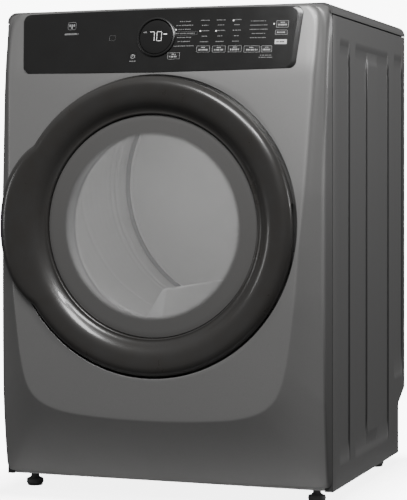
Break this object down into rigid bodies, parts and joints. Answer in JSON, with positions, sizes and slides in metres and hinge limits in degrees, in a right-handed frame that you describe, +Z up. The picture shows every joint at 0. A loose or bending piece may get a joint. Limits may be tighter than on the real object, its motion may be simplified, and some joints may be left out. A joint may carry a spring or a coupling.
{
  "type": "clothes dryer",
  "caption": "Front-loading clothes dryer with a round windowed door, sculpted front shell, sloped control console, belt-driven drum and rear exhaust outlet.",
  "frame": {"origin": "middle of the footprint's bounding box, on the floor", "axes": "+Z up, -Y out of the door, +X to the right as you face the door"},
  "size_m": [0.686, 0.7246, 0.965],
  "materials": {
    "titanium_shell": "metallic satin lacquer",
    "cabinet_paint": "satin enamel",
    "zinc_sheet": "galvanised",
    "console_gloss": "piano black",
    "key_gloss": "piano black with pale printed outline",
    "circuit_board": "solder-masked laminate",
    "bulkhead_enamel": "light grey enamel",
    "drum_steel": "light grey enamel",
    "vane_plastic": "moulded",
    "felt": "pressed wool felt",
    "belt_rubber": "ribbed",
    "motor_steel": "machined",
    "fan_plastic": "moulded",
    "heater_wire": "oxidised",
    "roller_rubber": "moulded",
    "door_gloss": "dark bronze-black gloss",
    "door_glass": "tinted, grey ceramic border",
    "clear_window": "clear moulding",
    "foot_plastic": "moulded nylon on a steel stem"
  },
  "bodies": {
    "cabinet": {"side_panel_left": "cabinet_paint", "side_panel_right": "cabinet_paint", "rear_panel": "zinc_sheet", "base_pan": "zinc_sheet", "top_panel": "cabinet_paint", "front_panel": "titanium_shell", "console_panel": "console_gloss", "display_lens": "console_gloss", "control_board": "circuit_board", "front_bulkhead": "bulkhead_enamel", "rear_bulkhead": "bulkhead_enamel", "felt_seals": "felt", "drum_belt": "belt_rubber", "motor": "motor_steel", "blower_housing": "fan_plastic", "lint_duct": "fan_plastic", "exhaust_duct": "zinc_sheet", "heater_housing": "zinc_sheet", "heater_element": "heater_wire", "terminal_cover": "zinc_sheet", "cord_entry_plate": "zinc_sheet", "door_hinge_bracket": "motor_steel", "latch_catch": "vane_plastic", "door_switch": "vane_plastic", "drum_lamp": "clear_window", "cross_braces": "zinc_sheet", "cabinet_screws": "motor_steel"},
    "drum": {"drum": "drum_steel", "drum_vanes": "vane_plastic"},
    "door": {"door_ring": "door_gloss", "door_handle": "door_gloss", "door_glass": "door_glass", "door_liner": "fan_plastic", "door_window": "clear_window", "door_seal": "belt_rubber", "door_strike": "motor_steel", "door_hinge_leaf": "motor_steel"},
    "selector_knob": {"selector_knob": "console_gloss"},
    "left_roller": {"support_roller_left": "roller_rubber"},
    "right_roller": {"support_roller_right": "roller_rubber"},
    "rotor": {"motor_shaft": "motor_steel", "blower_wheel": "fan_plastic"},
    "tensioner_arm": {"idler_arm": "motor_steel"},
    "tensioner_pulley": {"idler_pulley": "roller_rubber"},
    "lint_filter": {"lint_filter": "fan_plastic"},
    "switch_plunger": {"door_switch_plunger": "vane_plastic"},
    "leg_front_left": {"leg_front_left": "foot_plastic"},
    "leg_front_right": {"leg_front_right": "foot_plastic"},
    "leg_rear_left": {"leg_rear_left": "foot_plastic"},
    "leg_rear_right": {"leg_rear_right": "foot_plastic"},
    "key_power": {"key_power": "key_gloss"},
    "key_cycle": {"key_cycle": "key_gloss"},
    "key_temp": {"key_temp": "key_gloss"},
    "key_level": {"key_level": "key_gloss"},
    "key_time": {"key_time": "key_gloss"},
    "key_options": {"key_options": "key_gloss"},
    "key_select": {"key_select": "key_gloss"},
    "key_start": {"key_start": "key_gloss"},
    "key_cancel": {"key_cancel": "key_gloss"},
    "key_steam": {"key_steam": "key_gloss"}
  },
  "joints": [
    {"name": "door_swing", "type": "hinge", "parent": "cabinet", "child": "door", "pos_m": [0.276, -0.3445, 0.5355], "axis": [0, 0, 1], "range_deg": [0, 90]},
    {"name": "drum_turn", "type": "hinge", "parent": "cabinet", "child": "drum", "pos_m": [0, 0.0085, 0.615], "axis": [0, 1, 0], "continuous": true},
    {"name": "left_roller_turn", "type": "hinge", "parent": "cabinet", "child": "left_roller", "pos_m": [-0.18023, 0.2275, 0.3478], "axis": [0, 1, 0], "continuous": true},
    {"name": "right_roller_turn", "type": "hinge", "parent": "cabinet", "child": "right_roller", "pos_m": [0.18023, 0.2275, 0.3478], "axis": [0, 1, 0], "continuous": true},
    {"name": "rotor_turn", "type": "hinge", "parent": "cabinet", "child": "rotor", "pos_m": [-0.11, -0.0345, 0.16], "axis": [0, 1, 0], "continuous": true},
    {"name": "tensioner_arm_swing", "type": "hinge", "parent": "cabinet", "child": "tensioner_arm", "pos_m": [0.068, 0.0575, 0.11], "axis": [0, 1, 0], "range_deg": [0, 6], "stiffness_Nm_per_rad": 3, "springref_deg": -17.19},
    {"name": "tensioner_pulley_turn", "type": "hinge", "parent": "tensioner_arm", "child": "tensioner_pulley", "pos_m": [0.0553, 0.0735, 0.2597], "axis": [0, 1, 0], "continuous": true},
    {"name": "selector_knob_turn", "type": "hinge", "parent": "cabinet", "child": "selector_knob", "pos_m": [0, -0.30983, 0.9032], "axis": [0, 0.9792, -0.2028], "continuous": true},
    {"name": "key_power_press", "type": "slide", "parent": "cabinet", "child": "key_power", "axis": [0.0111, 0.9792, -0.2028], "range_m": [0, 0.0008], "stiffness_N_per_m": 800},
    {"name": "key_cycle_press", "type": "slide", "parent": "cabinet", "child": "key_cycle", "axis": [-0.0092, 0.9792, -0.2028], "range_m": [0, 0.0008], "stiffness_N_per_m": 800},
    {"name": "key_temp_press", "type": "slide", "parent": "cabinet", "child": "key_temp", "axis": [-0.0233, 0.979, -0.2027], "range_m": [0, 0.0008], "stiffness_N_per_m": 800},
    {"name": "key_level_press", "type": "slide", "parent": "cabinet", "child": "key_level", "axis": [-0.031, 0.9788, -0.2027], "range_m": [0, 0.0008], "stiffness_N_per_m": 800},
    {"name": "key_time_press", "type": "slide", "parent": "cabinet", "child": "key_time", "axis": [-0.0386, 0.9785, -0.2026], "range_m": [0, 0.0008], "stiffness_N_per_m": 800},
    {"name": "key_options_press", "type": "slide", "parent": "cabinet", "child": "key_options", "axis": [-0.0467, 0.9782, -0.2026], "range_m": [0, 0.0008], "stiffness_N_per_m": 800},
    {"name": "key_select_press", "type": "slide", "parent": "cabinet", "child": "key_select", "axis": [-0.0536, 0.9778, -0.2025], "range_m": [0, 0.0008], "stiffness_N_per_m": 800},
    {"name": "key_start_press", "type": "slide", "parent": "cabinet", "child": "key_start", "axis": [-0.0604, 0.9774, -0.2024], "range_m": [0, 0.0008], "stiffness_N_per_m": 800},
    {"name": "key_cancel_press", "type": "slide", "parent": "cabinet", "child": "key_cancel", "axis": [-0.06, 0.9775, -0.2024], "range_m": [0, 0.0008], "stiffness_N_per_m": 800},
    {"name": "key_steam_press", "type": "slide", "parent": "cabinet", "child": "key_steam", "axis": [-0.06, 0.9775, -0.2024], "range_m": [0, 0.0008], "stiffness_N_per_m": 800},
    {"name": "lint_filter_slide", "type": "slide", "parent": "cabinet", "child": "lint_filter", "axis": [0, 0, 1], "range_m": [0, 0.15]},
    {"name": "switch_plunger_slide", "type": "slide", "parent": "cabinet", "child": "switch_plunger", "axis": [0, -1, 0], "range_m": [0, 0.003]},
    {"name": "leg_front_left_screw", "type": "slide", "parent": "cabinet", "child": "leg_front_left", "axis": [0, 0, -1], "range_m": [0, 0.02]},
    {"name": "leg_front_right_screw", "type": "slide", "parent": "cabinet", "child": "leg_front_right", "axis": [0, 0, -1], "range_m": [0, 0.02]},
    {"name": "leg_rear_left_screw", "type": "slide", "parent": "cabinet", "child": "leg_rear_left", "axis": [0, 0, -1], "range_m": [0, 0.02]},
    {"name": "leg_rear_right_screw", "type": "slide", "parent": "cabinet", "child": "leg_rear_right", "axis": [0, 0, -1], "range_m": [0, 0.02]}
  ],
  "couplings": [
    {"joint": "left_roller_turn", "follows": "drum_turn", "ratio": -7.4737},
    {"joint": "right_roller_turn", "follows": "drum_turn", "ratio": -7.4737},
    {"joint": "rotor_turn", "follows": "drum_turn", "ratio": 23.667},
    {"joint": "tensioner_pulley_turn", "follows": "drum_turn", "ratio": -15.889},
    {"joint": "switch_plunger_slide", "follows": "door_swing", "m_per_rad": 0.0014}
  ]
}
